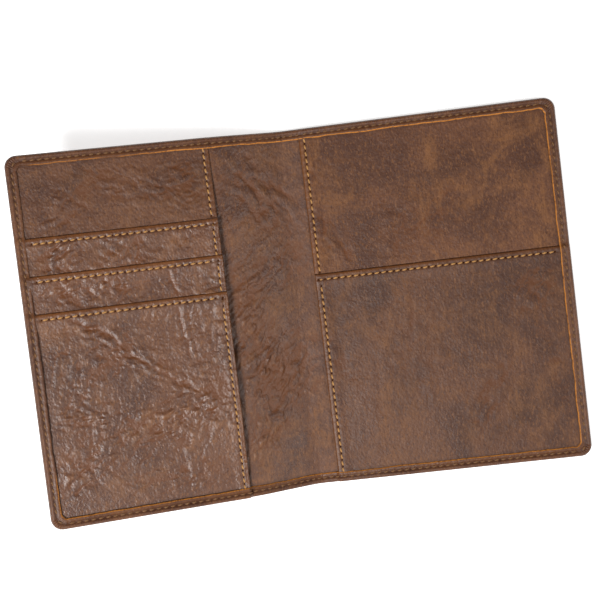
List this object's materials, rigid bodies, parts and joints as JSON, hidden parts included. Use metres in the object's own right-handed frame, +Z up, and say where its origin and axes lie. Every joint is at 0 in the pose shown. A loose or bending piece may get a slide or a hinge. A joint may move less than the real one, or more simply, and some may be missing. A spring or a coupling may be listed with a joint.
{
  "type": "passport holder wallet",
  "caption": "Bifold leather passport wallet, lying open: stepped card slots on the raised front cover, a passport sleeve with a ticket pocket on the flat back cover, stitched turned edges.",
  "frame": {"origin": "at the mount outer_face, the middle of the back cover's flat outer face", "axes": "+X across the back cover towards its fore edge, +Y along the fold towards the top edge (the card slots open that way), +Z up out of the back cover's inner side"},
  "size_m": [0.2104, 0.142, 0.0429],
  "materials": {
    "outer_leather": "waxed pull-up brown, satin",
    "lining_leather": "waxed pull-up brown, satin, creased",
    "pocket_leather": "waxed pull-up brown, satin, mottled tan",
    "board": "matt bonded fibre",
    "pocket_cloth": "thin woven taffeta",
    "thread": "waxed polyester, tan"
  },
  "bodies": {
    "back_cover": {"back_outer_leather": "outer_leather", "back_board": "board", "back_lining": "lining_leather", "passport_sleeve": "pocket_leather", "ticket_pocket": "pocket_leather", "back_edge_thread": "thread", "back_edge_bobbin_thread": "thread", "sleeve_edge_thread_upper": "thread", "sleeve_edge_thread_lower": "thread", "ticket_pocket_thread": "thread"},
    "spine": {"spine_outer_leather": "outer_leather", "spine_lining": "lining_leather", "spine_top_thread": "thread", "spine_bottom_thread": "thread", "spine_top_bobbin_thread": "thread", "spine_bottom_bobbin_thread": "thread"},
    "front_cover": {"front_outer_leather": "outer_leather", "front_board": "board", "front_lining": "lining_leather", "card_back_panel": "pocket_leather", "front_edge_thread": "thread", "front_edge_bobbin_thread": "thread", "card_slot_1": "pocket_leather", "card_slot_1_thread": "thread", "card_slot_1_cloth": "pocket_cloth", "card_slot_2": "pocket_leather", "card_slot_2_thread": "thread", "card_slot_2_cloth": "pocket_cloth", "card_slot_3": "pocket_leather", "card_slot_3_thread": "thread", "card_panel_edge_thread_1": "thread", "card_panel_edge_thread_2": "thread", "card_panel_edge_thread_3": "thread", "card_panel_edge_thread_4": "thread"}
  },
  "joints": [
    {"name": "back_fold", "type": "hinge", "parent": "back_cover", "child": "spine", "pos_m": [-0.051, 0, 0.0013], "axis": [0, 1, 0], "range_deg": [-13, 77]},
    {"name": "front_fold", "type": "hinge", "parent": "spine", "child": "front_cover", "pos_m": [-0.06269, 0, 0.004], "axis": [0, 1, 0], "range_deg": [-6.2, 83.8]}
  ]
}
